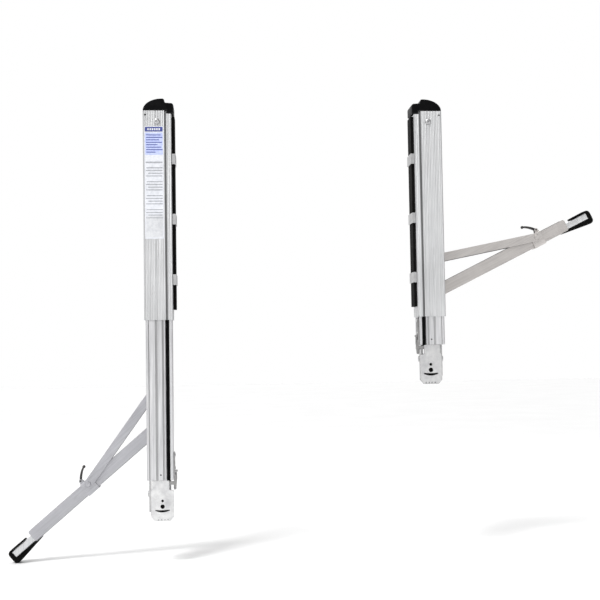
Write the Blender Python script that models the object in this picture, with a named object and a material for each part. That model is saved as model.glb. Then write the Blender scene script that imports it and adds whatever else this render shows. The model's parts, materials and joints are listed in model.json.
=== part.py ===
"""Ladder stabilizer: a mirrored pair of leg levellers with outriggers.

Each unit has an extruded housing that bolts to a ladder rail, a leg that slides in it, a toothed
shoe, a foot lock and a braced outrigger.  Lengths are metres.  X runs across the ladder, +Y runs
to the back and +Z is up.  The origin lies midway between the rails, level with the middle rail
blocks.  Each shape is drawn for the right unit, u being the distance outwards, and is mirrored
for the left one.
"""
import math

import bmesh
import bpy
from mathutils import Matrix, Vector

GAP = 0.0003                 # clearance between touching pieces
SEGMENTS = 20                # sides of a round pin or hole
ARC = 5                      # steps in a rounded corner

# Housing: an aluminium extrusion with a slot along its back.
HOUSING_TOP = 0.2075
HOUSING_LENGTH = 0.3985
HOUSING_IN = 0.2335          # side next to the rail
HOUSING_OUT = 0.2875
HOUSING_HALF_DEPTH = 0.0220
WALL = 0.0018
GROOVE_U = 0.2450            # guide groove down the front
GROOVE_HALF = 0.0020
GROOVE_DEPTH = 0.0030
SLOT_IN = 0.2440             # edges of the back slot
SLOT_OUT = 0.2800
FLUTE_PITCH = 0.0031
FLUTE_DEPTH = 0.0004
STRIP_STEP = 0.0060          # the inner strip ends this far below the top
CAP_HEIGHT = 0.0230

# Leg: an aluminium extrusion; heights are above the bottom of the foot.
LEG_IN = 0.2358
LEG_OUT = 0.2852
LEG_HALF_DEPTH = 0.0197
LEG_BOTTOM = 0.0750
LEG_TOP = 0.4750
PLUG_HEIGHT = 0.0260
RETRACTED = 0.1290           # foot below the housing with the leg pushed in
TRAVEL = 0.2460

# Foot.
SHOE_AXIS = (0.0050, 0.0480)     # y and height of the shoe's pivot
SHOE_FRONT = -0.0197
SHOE_PLATE = 0.0030
SHOE_PIN_RADIUS = 0.0035
TOOTH_COUNT = 5

# Lock.
LOCK_FRONT = -0.0160
LOCK_BACK = -0.0110
LEVER_AXIS = (0.2332, 0.0700)    # u and height of the foot lever's pivot
PAWL_AXIS = (0.2420, 0.0115)     # u and height above the leg's top
SMALL_PIN_RADIUS = 0.0012        # pivots of the lever and the pawl
ROD_U = (0.2418, 0.2482)
ROD_NECK = 0.2452                # the rod's top end is narrower, clear of the pawl's pivot
ROD_BOTTOM = 0.0727

# Outrigger; u and height above the foot of the two bracket pivots.
ARM_PIVOT = (0.2670, 0.1720)
STRUT_PIVOT = (0.2720, 0.2430)
PLANE = 0.0412               # depth of the outrigger's middle plane
ARM_HALF = 0.0120            # half of the arm's height
ARM_HALF_DEPTH = 0.0105
ARM_LENGTH = 0.3130
STRUT_HALF = 0.00825
STRUT_HALF_DEPTH = 0.0146
STRUT_WALL = 0.0016
STRUT_LENGTH = 0.2180
COLLAR_PIN_HEIGHT = 0.0050   # the strut's outer pin above the arm's middle line
PIN_RADIUS = 0.0040
TUBE_LOW = -0.0098           # inner tube's lower and upper sides
TUBE_HIGH = 0.0032
FOOT_TIP = 0.3680

# Where each unit stands: its side, how far the leg is drawn out, and the arm's angle.
UNITS = (
    ("left", -1, TRAVEL, -40.4),
    ("right", 1, 0.0, 26.3),
)

MATERIALS = {
    "bright_aluminium": ((0.72, 0.73, 0.74), 0.36, 1.0),
    "leg_aluminium": ((0.70, 0.70, 0.72), 0.32, 1.0),
    "arm_aluminium": ((0.60, 0.58, 0.57), 0.42, 1.0),
    "plated_steel": ((0.62, 0.62, 0.63), 0.28, 1.0),
    "black_plastic": ((0.015, 0.015, 0.016), 0.45, 0.0),
    "black_rubber": ((0.012, 0.012, 0.012), 0.75, 0.0),
    "dark_steel": ((0.10, 0.10, 0.11), 0.45, 1.0),
}


def clear_scene():
    for item in list(bpy.data.objects):
        bpy.data.objects.remove(item, do_unlink=True)


def material(name):
    found = bpy.data.materials.get(name)
    if found:
        return found
    colour, roughness, metallic = MATERIALS[name]
    made = bpy.data.materials.new(name)
    made.use_nodes = True
    shader = made.node_tree.nodes["Principled BSDF"]
    shader.inputs["Base Color"].default_value = (*colour, 1.0)
    shader.inputs["Roughness"].default_value = roughness
    shader.inputs["Metallic"].default_value = metallic
    return made


# ---------------------------------------------------------------- outlines

def arc(centre, radius, start, end, steps=ARC):
    """Points on an arc, angles in degrees."""
    points = []
    for index in range(steps + 1):
        angle = math.radians(start + (end - start) * index / steps)
        points.append((centre[0] + radius * math.cos(angle), centre[1] + radius * math.sin(angle)))
    return points


def circle(centre, radius, steps=SEGMENTS):
    return arc(centre, radius, 0.0, 360.0 * (steps - 1) / steps, steps - 1)


def rectangle(low_a, high_a, low_b, high_b):
    return [(low_a, low_b), (high_a, low_b), (high_a, high_b), (low_a, high_b)]


def rounded(low_a, high_a, low_b, high_b, radius):
    points = arc((high_a - radius, low_b + radius), radius, -90, 0, 3)
    points += arc((high_a - radius, high_b - radius), radius, 0, 90, 3)
    points += arc((low_a + radius, high_b - radius), radius, 90, 180, 3)
    points += arc((low_a + radius, low_b + radius), radius, 180, 270, 3)
    return points


# ---------------------------------------------------------------- solids

PLANES = {
    "x": lambda a, b, depth: Vector((depth, a, b)),      # outline in (y, z)
    "y": lambda a, b, depth: Vector((a, depth, b)),      # outline in (u, z)
    "z": lambda a, b, depth: Vector((a, b, depth)),      # outline in (u, y)
}


def prism(bm, axis, outline, low, high, holes=()):
    """Add a flat outline, with any holes, extruded along an axis."""
    place = PLANES[axis]
    for level in (low, high):
        edges = []
        for loop in (outline, *holes):
            verts = [bm.verts.new(place(a, b, level)) for a, b in loop]
            if not holes:
                bm.faces.new(verts)
            edges += [bm.edges.get(pair) or bm.edges.new(pair) for pair in zip(verts, verts[1:] + verts[:1])]
        if holes:
            bmesh.ops.triangle_fill(bm, use_beauty=True, use_dissolve=False, edges=edges)
        if level == low:
            first = edges
    for lower, upper in zip(first, edges):
        bm.faces.new((*lower.verts, upper.other_vert(upper.verts[0]), upper.verts[0]))
    bmesh.ops.recalc_face_normals(bm, faces=bm.faces[:])


def shape(axis, outline, low, high, holes=()):
    bm = bmesh.new()
    prism(bm, axis, outline, low, high, holes)
    return bm


def turned(profile, steps=SEGMENTS):
    """A closed solid turned about the Y axis, from (radius, y) points."""
    bm = bmesh.new()
    verts = [bm.verts.new((radius, along, 0.0)) for radius, along in profile]
    edges = [bm.edges.new(pair) for pair in zip(verts, verts[1:])]
    bmesh.ops.spin(bm, geom=verts + edges, cent=(0, 0, 0), axis=(0, 1, 0),
                   angle=2 * math.pi, steps=steps, use_merge=True)
    bmesh.ops.remove_doubles(bm, verts=bm.verts[:], dist=0.000001)
    bmesh.ops.recalc_face_normals(bm, faces=bm.faces[:])
    return bm


class Unit:
    """One side of the stabilizer: it mirrors shapes and names nodes."""

    def __init__(self, tag, side):
        self.tag = tag
        self.side = side

    def frame(self, name, origin, parent=None, degrees=0.0):
        """An empty at a joint; degrees raises its +u direction."""
        empty = bpy.data.objects.new(name + "_" + self.tag, None)
        bpy.context.scene.collection.objects.link(empty)
        empty.location = (self.side * origin[0], origin[1], origin[2])
        empty.rotation_euler = (0.0, -self.side * math.radians(degrees), 0.0)
        empty.parent = parent
        return empty

    def add(self, name, bm, colour, parent, origin=(0.0, 0.0, 0.0), smooth=False):
        """Make the mesh drawn in the parent's frame a node whose own origin is at origin."""
        bmesh.ops.translate(bm, vec=-Vector(origin), verts=bm.verts[:])
        if self.side < 0:
            bmesh.ops.scale(bm, vec=(-1, 1, 1), verts=bm.verts[:])
            bmesh.ops.reverse_faces(bm, faces=bm.faces[:])
        mesh = bpy.data.meshes.new(name + "_" + self.tag)
        bm.to_mesh(mesh)
        bm.free()
        mesh.materials.append(material(colour) if colour else None)
        if smooth:
            mesh.shade_smooth()
            mesh.set_sharp_from_angle(angle=math.radians(35))
        made = bpy.data.objects.new(name + "_" + self.tag, mesh)
        bpy.context.scene.collection.objects.link(made)
        made.location = (self.side * origin[0], origin[1], origin[2])
        made.parent = parent
        return made

    def combine(self, target, bm, operation, parent):
        """Cut, join or intersect a node with a hidden shape drawn in the parent's frame."""
        label = target.name + "_" + operation.lower() + str(len(target.modifiers))
        tool = self.add(label, bm, None, parent)
        tool.hide_render = True
        tool.display_type = "WIRE"
        modifier = target.modifiers.new(operation.title(), "BOOLEAN")
        modifier.operation = operation
        modifier.solver = "EXACT"
        modifier.object = tool


# ---------------------------------------------------------------- housing

def fluted(start, end, face):
    """Front-face points from start to end along u, with shallow flutes."""
    count = int((end - start) / FLUTE_PITCH)
    margin = (end - start - count * FLUTE_PITCH) / 2
    points = [(start, face)]
    for index in range(count):
        left = start + margin + index * FLUTE_PITCH
        points.append((left + FLUTE_PITCH * 0.25, face))
        points.append((left + FLUTE_PITCH * 0.50, face + FLUTE_DEPTH))
        points.append((left + FLUTE_PITCH * 0.75, face))
    points.append((end, face))
    return points


def housing_section():
    front = -HOUSING_HALF_DEPTH
    back = HOUSING_HALF_DEPTH
    inner = front + WALL
    rib = inner + GROOVE_DEPTH
    floor = front + GROOVE_DEPTH
    rib_half = GROOVE_HALF + 0.0014
    chamfer = 0.0012
    points = [(HOUSING_IN, front + chamfer)]
    points += fluted(HOUSING_IN + chamfer, GROOVE_U - GROOVE_HALF, front)
    points += [(GROOVE_U - GROOVE_HALF, floor), (GROOVE_U + GROOVE_HALF, floor)]
    points += fluted(GROOVE_U + GROOVE_HALF, HOUSING_OUT - chamfer, front)
    points += [(HOUSING_OUT, front + chamfer), (HOUSING_OUT, back - chamfer)]
    points += [(HOUSING_OUT - chamfer, back), (SLOT_OUT, back), (SLOT_OUT, back - WALL)]
    points += [(HOUSING_OUT - WALL, back - WALL), (HOUSING_OUT - WALL, inner)]
    points += [(GROOVE_U + rib_half, inner), (GROOVE_U + rib_half, rib)]
    points += [(GROOVE_U - rib_half, rib), (GROOVE_U - rib_half, inner)]
    points += [(HOUSING_IN + WALL, inner), (HOUSING_IN + WALL, back - WALL)]
    points += [(SLOT_IN, back - WALL), (SLOT_IN, back), (HOUSING_IN + chamfer, back)]
    points += [(HOUSING_IN, back - chamfer)]
    return points


BOLT_U = 0.2610
BOLT_Z = HOUSING_TOP - 0.0210
BOLT_RADIUS = 0.0030
HOLE_CENTRE = (0.2830, HOUSING_TOP - 0.0080)
HOLE_RADIUS = 0.0020


def add_housing(unit, root):
    bottom = HOUSING_TOP - HOUSING_LENGTH
    body = shape("z", housing_section(), bottom, HOUSING_TOP)
    node = unit.add("housing", body, "bright_aluminium", root)
    notch = rectangle(HOUSING_IN - 0.01, GROOVE_U - GROOVE_HALF, -0.03, 0.03)
    unit.combine(node, shape("z", notch, HOUSING_TOP - STRIP_STEP, HOUSING_TOP + 0.01), "DIFFERENCE", root)
    hole = shape("y", circle(HOLE_CENTRE, HOLE_RADIUS, 12), -0.03, -0.015)
    unit.combine(node, hole, "DIFFERENCE", root)
    bolt_hole = shape("y", circle((BOLT_U, BOLT_Z), BOLT_RADIUS + GAP), -0.03, -0.015)
    unit.combine(node, bolt_hole, "DIFFERENCE", root)


def add_stop_bolt(unit, root):
    face = -HOUSING_HALF_DEPTH
    profile = [(0, face - 0.0036), (0.0046, face - 0.0034), (0.0057, face - 0.0024), (0.0057, face - GAP),
               (BOLT_RADIUS, face - GAP), (BOLT_RADIUS, face + 0.0090), (0, face + 0.0090)]
    bm = turned(profile)
    bmesh.ops.translate(bm, vec=(BOLT_U, 0, BOLT_Z), verts=bm.verts[:])
    unit.add("stop_bolt", bm, "plated_steel", root, smooth=True)


def cap_profile():
    """Rounded outer shoulder, a flat top, a step and a sloping inner nose."""
    base = HOUSING_TOP + GAP
    points = []
    for index in range(9):
        angle = math.radians(90.0 * index / 8)
        u = 0.2520 + (HOUSING_OUT - 0.2520) * math.cos(angle)
        points.append((u, base + CAP_HEIGHT * math.sin(angle)))
    points += [(0.2475, base + CAP_HEIGHT), (0.2448, base + 0.0148), (0.2365, base + 0.0145)]
    points += [(0.2292, base + 0.0045), (0.2292, base - STRIP_STEP + 0.0006)]
    lip = GROOVE_U - GROOVE_HALF - GAP
    points += [(lip, base - STRIP_STEP + 0.0006), (lip, base)]
    return points


def add_top_cap(unit, root):
    depth = HOUSING_HALF_DEPTH
    node = unit.add("top_cap", shape("y", cap_profile(), -depth, depth), "black_plastic", root)
    hollow = rounded(0.2490, 0.2800, HOUSING_TOP - 0.0100, HOUSING_TOP + 0.0120, 0.0020)
    unit.combine(node, shape("y", hollow, -0.0180, 0.0180), "DIFFERENCE", root)


STRIP_IN = 0.2276
STRIP_OUT = HOUSING_IN - GAP
STRIP_HALF_DEPTH = 0.0155
BLOCK_IN = 0.2262
BLOCK_HEIGHT = 0.0200
BLOCK_SPACING = 0.1150
BLOCK_HALF_DEPTH = 0.0200


def add_backing_strip(unit, root):
    outline = rectangle(STRIP_IN, STRIP_OUT, -STRIP_HALF_DEPTH, STRIP_HALF_DEPTH)
    bm = shape("z", outline, HOUSING_TOP - HOUSING_LENGTH + 0.0200, HOUSING_TOP - 0.0100)
    unit.add("backing_strip", bm, "black_rubber", root)


def add_rail_blocks(unit, root):
    """Three clamping blocks hook round the front edge of the backing strip."""
    for label, step in (("top", 1), ("mid", 0), ("low", -1)):
        middle = step * BLOCK_SPACING
        front = -STRIP_HALF_DEPTH - GAP
        outline = [(BLOCK_IN, -BLOCK_HALF_DEPTH), (STRIP_OUT, -BLOCK_HALF_DEPTH), (STRIP_OUT, front)]
        outline += [(STRIP_IN - GAP, front), (STRIP_IN - GAP, BLOCK_HALF_DEPTH), (BLOCK_IN, BLOCK_HALF_DEPTH)]
        bm = shape("z", outline, middle - BLOCK_HEIGHT / 2, middle + BLOCK_HEIGHT / 2)
        unit.add("rail_block_" + label, bm, "plated_steel", root)


RACK_FACE = 0.2378
RACK_ROOT = 0.2367
RACK_BACK = HOUSING_IN + WALL + GAP
RACK_TEETH = 28


def add_lock_rack(unit, root):
    """A saw-toothed strip on the housing's inner side wall, facing outwards."""
    pitch = TRAVEL / 20
    low = HOUSING_TOP - HOUSING_LENGTH + 0.0080
    outline = [(RACK_BACK, low)]
    for index in range(RACK_TEETH):
        outline.append((RACK_ROOT, low + index * pitch))
        outline.append((RACK_FACE, low + (index + 0.8) * pitch))
    outline.append((RACK_ROOT, low + RACK_TEETH * pitch))
    outline.append((RACK_BACK, low + RACK_TEETH * pitch))
    unit.add("lock_rack", shape("y", outline, -0.0162, -0.0096), "dark_steel", root)


# ---------------------------------------------------------------- leg

def leg_section():
    front = -LEG_HALF_DEPTH
    back = LEG_HALF_DEPTH
    dip = 0.0010
    outline = [(LEG_IN, front), (0.2410, front), (0.2410, -0.0105), (0.2490, -0.0105), (0.2490, front)]
    for start, end in ((0.2515, 0.2550), (0.2635, 0.2680), (0.2785, 0.2805)):
        outline += [(start, front), (start + 0.0005, front + dip)]
        outline += [(end - 0.0005, front + dip), (end, front)]
    outline += [(LEG_OUT - 0.0015, front), (LEG_OUT, front + 0.0015), (LEG_OUT, back - 0.0015)]
    outline += [(LEG_OUT - 0.0015, back), (LEG_IN, back), (LEG_IN, -0.0078)]
    outline += [(0.2384, -0.0078), (0.2384, -0.0172), (LEG_IN, -0.0172)]
    hollow = [(0.2514, -0.0168), (0.2828, -0.0168), (0.2828, 0.0173), (0.2380, 0.0173)]
    hollow += [(0.2380, -0.0056), (0.2406, -0.0056), (0.2406, -0.0083), (0.2514, -0.0083)]
    return outline, hollow


LEG_HOLE = (0.2592, LEG_BOTTOM + 0.0100)
LEG_HOLE_RADIUS = 0.0015


def add_leg(unit, frame):
    outline, hollow = leg_section()
    node = unit.add("leg", shape("z", outline, LEG_BOTTOM, LEG_TOP, [hollow]), "leg_aluminium", frame)
    hole = shape("y", circle(LEG_HOLE, LEG_HOLE_RADIUS, 12), -0.03, -0.010)
    unit.combine(node, hole, "DIFFERENCE", frame)


def add_top_plug(unit, frame):
    """A plastic end block with a roofed pocket for the pawl and its spring."""
    low = LEG_TOP + GAP
    high = LEG_TOP + PLUG_HEIGHT
    front = -0.0188
    # The front corner is left open for the housing's guide rib.
    outline = [(0.2390, -0.0160), (0.2500, -0.0160), (0.2500, front), (0.2840, front)]
    outline += [(0.2840, 0.0188), (0.2366, 0.0188), (0.2366, -0.0075), (0.2390, -0.0075)]
    node = unit.add("leg_top_plug", shape("z", outline, low, high), "black_plastic", frame)
    slot = rectangle(0.2300, 0.2490, -0.0145, -0.0085)
    unit.combine(node, shape("z", slot, low - 0.01, high - 0.0030), "DIFFERENCE", frame)
    axis = (PAWL_AXIS[0], LEG_TOP + PAWL_AXIS[1])
    pivot = shape("y", circle(axis, SMALL_PIN_RADIUS + GAP, 12), -0.0145, -0.0070)
    unit.combine(node, pivot, "DIFFERENCE", frame)


def add_pawl(unit, frame):
    """A bell crank: its tooth faces the rack and its arm sits on the rod."""
    u = PAWL_AXIS[0]
    z = LEG_TOP + PAWL_AXIS[1]
    outline = [(u - 0.0016, z + 0.0016), (u - 0.0016, z - 0.0030), (0.2383, z - 0.0070), (0.2394, z - 0.0095)]
    outline += [(0.2408, z - 0.0085), (u + 0.0012, z - 0.0020), (0.2480, z - 0.0020), (0.2480, z + 0.0016)]
    node = unit.add("lock_pawl", shape("y", outline, -0.0140, -0.0090), "dark_steel", frame, (u, 0.0, z))
    stub = shape("y", circle((u, z), SMALL_PIN_RADIUS, 12), -0.0120, -0.0073)
    unit.combine(node, stub, "UNION", frame)


SPRING_WIRE = 0.00035            # radius of the wire
SPRING_RADIUS = 0.0016
SPRING_CENTRE = (0.2462, -0.0115)
SPRING_LOW = PAWL_AXIS[1] + 0.0016 + GAP
SPRING_HIGH = PLUG_HEIGHT - 0.0030 - GAP


def add_lock_spring(unit, frame):
    """A compression spring that holds the pawl's arm down on the rod."""
    wire = SPRING_WIRE
    turns = 4
    steps = 10
    sides = 5
    low = LEG_TOP + SPRING_LOW + wire
    rise = SPRING_HIGH - SPRING_LOW - 2 * wire
    bm = bmesh.new()
    rings = []
    for index in range(turns * steps + 1):
        angle = 2 * math.pi * index / steps
        out = Vector((math.cos(angle), math.sin(angle), 0.0))
        centre = Vector((*SPRING_CENTRE, low + rise * index / (turns * steps))) + out * SPRING_RADIUS
        ring = []
        for corner in range(sides):
            turn = 2 * math.pi * corner / sides
            offset = out * math.cos(turn) + Vector((0, 0, 1)) * math.sin(turn)
            ring.append(bm.verts.new(centre + offset * wire))
        rings.append(ring)
    for first, second in zip(rings, rings[1:]):
        for corner in range(sides):
            after = (corner + 1) % sides
            bm.faces.new((first[corner], first[after], second[after], second[corner]))
    bm.faces.new(rings[0])
    bm.faces.new(rings[-1])
    bmesh.ops.recalc_face_normals(bm, faces=bm.faces[:])
    unit.add("lock_spring", bm, "plated_steel", frame, smooth=True)


def add_lock_rod(unit, frame):
    low_in, low_out = ROD_U
    top = LEG_TOP + PAWL_AXIS[1] - 0.0020 - GAP
    shoulder = top - 0.0140
    outline = [(low_in, ROD_BOTTOM), (low_out, ROD_BOTTOM), (low_out, top), (ROD_NECK, top)]
    outline += [(ROD_NECK, shoulder), (low_in, shoulder - 0.0020)]
    unit.add("lock_rod", shape("y", outline, -0.0140, -0.0112), "black_plastic", frame)


def add_lock_lever(unit, frame):
    """The foot lever: a tail with a stud to pull, and a nose under the rod."""
    u, z = LEVER_AXIS
    stud = (u - 0.0032, z + 0.0220)
    outline = [(u - 0.0024, 0.0580), (u + 0.0012, 0.0566), (u + 0.0026, 0.0600), (u + 0.0026, z - 0.0040)]
    outline += [(0.2485, z - 0.0030), (0.2485, z + 0.0024), (u + 0.0028, z + 0.0024), (u, z + 0.0036)]
    outline += [(u - 0.0016, z + 0.0090), (u - 0.0018, z + 0.0220), (u - 0.0040, z + 0.0230)]
    outline += [(u - 0.0042, z + 0.0080), (u - 0.0034, z + 0.0010)]
    hole = circle((u, z), SMALL_PIN_RADIUS + GAP, 12)
    bm = shape("y", outline, LOCK_FRONT, LOCK_BACK, [hole])
    node = unit.add("lock_lever", bm, "plated_steel", frame, (u, 0.0, z))
    unit.combine(node, shape("y", circle(stud, 0.0022, 16), -0.0180, -0.0095), "UNION", frame)


PLATE_U = (0.2326, 0.2355)
PLATE_HEIGHTS = (0.0790, 0.1272)


def add_lock_plate(unit, frame):
    """A plate on the leg's inner side, with two ears that carry the lever's pin."""
    u, z = LEVER_AXIS
    outline = rounded(-0.0190, -0.0040, *PLATE_HEIGHTS, 0.0025)
    node = unit.add("lock_plate", shape("x", outline, *PLATE_U), "plated_steel", frame)
    ear = rounded(u - 0.0032, PLATE_U[1] - 0.0002, z - 0.0040, PLATE_HEIGHTS[0] + 0.0060, 0.0012)
    hole = [circle((u, z), SMALL_PIN_RADIUS + GAP, 12)]
    unit.combine(node, shape("y", ear, -0.0185, LOCK_FRONT - GAP, hole), "UNION", frame)
    unit.combine(node, shape("y", ear, LOCK_BACK + GAP, -0.0085, hole), "UNION", frame)


def add_lever_pin(unit, frame):
    u, z = LEVER_AXIS
    shank = SMALL_PIN_RADIUS
    profile = [(0, -0.0200), (0.0022, -0.0200), (0.0026, -0.0188), (shank, -0.0188), (shank, -0.0082)]
    profile += [(0.0026, -0.0082), (0.0022, -0.0070), (0, -0.0070)]
    bm = turned(profile, 12)
    bmesh.ops.translate(bm, vec=(u, 0, z), verts=bm.verts[:])
    unit.add("lever_pin", bm, "plated_steel", frame, smooth=True)


# ---------------------------------------------------------------- foot

YOKE_IN = (0.2412, 0.2444)
YOKE_OUT = (0.2788, 0.2822)


YOKE_HEIGHTS = (0.0300, 0.0150, 0.0820, 0.1000)    # inner arm's end, outer arm's end, crotch, top


def add_foot_yoke(unit, frame):
    """An upturned fork that plugs the leg's lower end and carries the shoe's bolt."""
    short, long, crotch, top = YOKE_HEIGHTS
    outline = [(YOKE_IN[0], short), (YOKE_IN[1], short), (YOKE_IN[1], crotch), (YOKE_OUT[0], crotch)]
    outline += [(YOKE_OUT[0], long), (YOKE_OUT[1], long), (YOKE_OUT[1], top), (YOKE_IN[0], top)]
    node = unit.add("foot_yoke", shape("y", outline, -0.0050, 0.0150), "plated_steel", frame)
    hole = shape("x", circle(SHOE_AXIS, SHOE_PIN_RADIUS + GAP), 0.2300, 0.2900)
    unit.combine(node, hole, "DIFFERENCE", frame)


BLADE_U = (0.2350, 0.2780)
NECK_U = (0.2440, 0.2755)
SHOE_MIDDLE = 0.2565
SHOE_TOP = 0.0745
SHOE_EARS = ((0.2468, 0.2496), (0.2728, 0.2756))
EAR_RADIUS = 0.0100


def shoe_plate_outline():
    """A narrow neck above a wider blade with clipped corners and a row of teeth."""
    low_in, low_out = BLADE_U
    neck_in, neck_out = NECK_U
    points = [(neck_in, SHOE_TOP), (neck_in, 0.0580), (low_in, 0.0555), (low_in, 0.0080)]
    tooth_from = low_in + 0.0070
    tooth_to = low_out - 0.0070
    pitch = (tooth_to - tooth_from) / TOOTH_COUNT
    for index in range(TOOTH_COUNT):
        left = tooth_from + index * pitch
        points += [(left, 0.0000), (left + pitch * 0.58, 0.0000), (left + pitch * 0.79, 0.0032)]
    points[-1] = (tooth_to, 0.0000)
    points += [(low_out, 0.0080), (low_out, 0.0570), (neck_out, 0.0595), (neck_out, SHOE_TOP)]
    return points


def smile(centre_u):
    """The crescent slot: a nearly straight upper edge and a sagging lower edge."""
    half = 0.0135
    points = []
    for index in range(9):
        t = -1 + 2 * index / 8
        points.append((centre_u + half * t, 0.0160 + 0.0032 * t * t))
    for index in range(9):
        t = 1 - 2 * index / 8
        points.append((centre_u + half * 0.98 * t, 0.0198 + 0.0008 * t * t))
    return points


def add_shoe(unit, frame):
    """A toothed steel plate with two ears turned back to the pivot."""
    y, z = SHOE_AXIS
    holes = [circle((SHOE_MIDDLE, 0.0370), 0.0024, 12), circle((SHOE_MIDDLE, 0.0265), 0.0040, 16)]
    holes.append(smile(SHOE_MIDDLE))
    plate = shape("y", shoe_plate_outline(), SHOE_FRONT, SHOE_FRONT + SHOE_PLATE, holes)
    node = unit.add("shoe", plate, "plated_steel", frame, (0.0, y, z))
    back = arc((y, z), EAR_RADIUS, 90, -90, 8)
    ear = [(SHOE_FRONT + 0.0010, 0.0380), (SHOE_FRONT + 0.0010, 0.0580), *back]
    pivot = [circle(SHOE_AXIS, SHOE_PIN_RADIUS + GAP)]
    for low, high in SHOE_EARS:
        unit.combine(node, shape("x", ear, low, high, pivot), "UNION", frame)


NUT_OUTER = 0.2376


def add_shoe_bolt(unit, frame):
    """The pivot bolt: a domed head outside the fork and a plain end inside."""
    y, z = SHOE_AXIS
    tip = NUT_OUTER - 0.0001
    head = YOKE_OUT[1] + GAP
    profile = [(0, tip), (SHOE_PIN_RADIUS, tip), (SHOE_PIN_RADIUS, head), (0.0062, head)]
    profile += [(0.0062, head + 0.0014), (0.0046, head + 0.0026), (0, head + 0.0030)]
    bm = turned(profile)
    bmesh.ops.rotate(bm, cent=(0, 0, 0), matrix=Matrix.Rotation(math.radians(-90), 3, "Z"), verts=bm.verts[:])
    bmesh.ops.translate(bm, vec=(0, y, z), verts=bm.verts[:])
    unit.add("shoe_bolt", bm, "plated_steel", frame, smooth=True)


def add_shoe_nut(unit, frame):
    outline = circle(SHOE_AXIS, 0.0064, 6)
    hole = [circle(SHOE_AXIS, SHOE_PIN_RADIUS + GAP)]
    bm = shape("x", outline, NUT_OUTER, YOKE_IN[0] - GAP, hole)
    unit.add("shoe_nut", bm, "plated_steel", frame)


# ---------------------------------------------------------------- outrigger

PLATE_IN = 0.0154            # the bracket's plates, from the outrigger's middle plane
PLATE_OUT = 0.0179


def add_bracket(unit, frame):
    """A channel on the leg's back: a neck through the housing's slot and two pivot plates."""
    front = PLANE - PLATE_OUT
    outline = [(0.2470, 0.0200), (0.2770, 0.0200), (0.2770, front), (0.2845, front)]
    outline += [(0.2845, PLANE - PLATE_IN), (0.2415, PLANE - PLATE_IN), (0.2415, PLANE + PLATE_IN)]
    outline += [(0.2845, PLANE + PLATE_IN), (0.2845, PLANE + PLATE_OUT), (0.2385, PLANE + PLATE_OUT)]
    outline += [(0.2385, front), (0.2470, front)]
    low = ARM_PIVOT[1] - 0.0220
    high = STRUT_PIVOT[1] + 0.0220
    node = unit.add("outrigger_bracket", shape("z", outline, low, high), "leg_aluminium", frame)
    limit = rounded(0.2380, 0.2850, low - 0.0001, high + 0.0001, 0.0110)
    unit.combine(node, shape("y", limit, 0.01, 0.07), "INTERSECT", frame)
    for pivot in (ARM_PIVOT, STRUT_PIVOT):
        hole = shape("y", circle(pivot, PIN_RADIUS + GAP), 0.01, 0.07)
        unit.combine(node, hole, "DIFFERENCE", frame)


def add_pivot_pins(unit, frame):
    rear = PLANE + PLATE_OUT + GAP
    for name, pivot in (("arm_pin", ARM_PIVOT), ("strut_pin", STRUT_PIVOT)):
        profile = [(0, 0.0203), (PIN_RADIUS - 0.0006, 0.0203), (PIN_RADIUS, 0.0209), (PIN_RADIUS, rear)]
        profile += [(0.0070, rear), (0.0070, rear + 0.0018), (0.0054, rear + 0.0030), (0, rear + 0.0034)]
        bm = turned(profile)
        bmesh.ops.translate(bm, vec=(pivot[0], 0, pivot[1]), verts=bm.verts[:])
        unit.add(name, bm, "plated_steel", frame, smooth=True)


def add_arm(unit, frame):
    """A channel open along its top edge, with a round boss each side at the pivot."""
    wall = 0.0018
    depth = ARM_HALF_DEPTH
    inner = depth - wall
    outline = [(-depth, ARM_HALF), (-depth, 0.0015 - ARM_HALF), (0.0015 - depth, -ARM_HALF)]
    outline += [(depth - 0.0015, -ARM_HALF), (depth, 0.0015 - ARM_HALF), (depth, ARM_HALF), (inner, ARM_HALF)]
    outline += [(inner, wall - ARM_HALF), (-inner, wall - ARM_HALF), (-inner, ARM_HALF)]
    node = unit.add("outrigger_arm", shape("x", outline, -ARM_HALF, ARM_LENGTH), "arm_aluminium", frame)
    limit = arc((0, 0), ARM_HALF, 270, 90, 10)
    limit += arc((ARM_LENGTH - 0.004, ARM_HALF - 0.004), 0.0041, 90, 0, 3)
    limit += arc((ARM_LENGTH - 0.004, 0.004 - ARM_HALF), 0.0041, 0, -90, 3)
    unit.combine(node, shape("y", limit, -0.03, 0.03), "INTERSECT", frame)
    for side in (-1, 1):
        ends = sorted((side * (inner + 0.0002), side * (PLATE_IN - 0.0004)))
        unit.combine(node, shape("y", circle((0, 0), 0.0080), *ends), "UNION", frame)
    unit.combine(node, shape("y", circle((0, 0), PIN_RADIUS + GAP), -0.03, 0.03), "DIFFERENCE", frame)


def add_strut(unit, frame):
    """A channel open below that straddles the collar; its inner eye is free on its pin."""
    eye = 0.0120
    start = -STRUT_LENGTH
    end = 0.0120
    side = arc((start, 0), eye, 318, 42, 14)
    side += [(end - 0.004, STRUT_HALF), (end, STRUT_HALF - 0.004), (end, 0.004 - STRUT_HALF)]
    side += [(end - 0.004, -STRUT_HALF)]
    holes = [circle((start, 0), PIN_RADIUS + 0.0038), circle((0, 0), PIN_RADIUS + GAP)]
    inner = STRUT_HALF_DEPTH - STRUT_WALL
    node = unit.add("strut", shape("y", side, -STRUT_HALF_DEPTH, -inner, holes), "arm_aluminium", frame)
    unit.combine(node, shape("y", side, inner, STRUT_HALF_DEPTH, holes), "UNION", frame)
    roof = rectangle(-inner - 0.0002, inner + 0.0002, STRUT_HALF - STRUT_WALL, STRUT_HALF)
    unit.combine(node, shape("x", roof, start + 0.0300, -0.0450), "UNION", frame)


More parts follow.
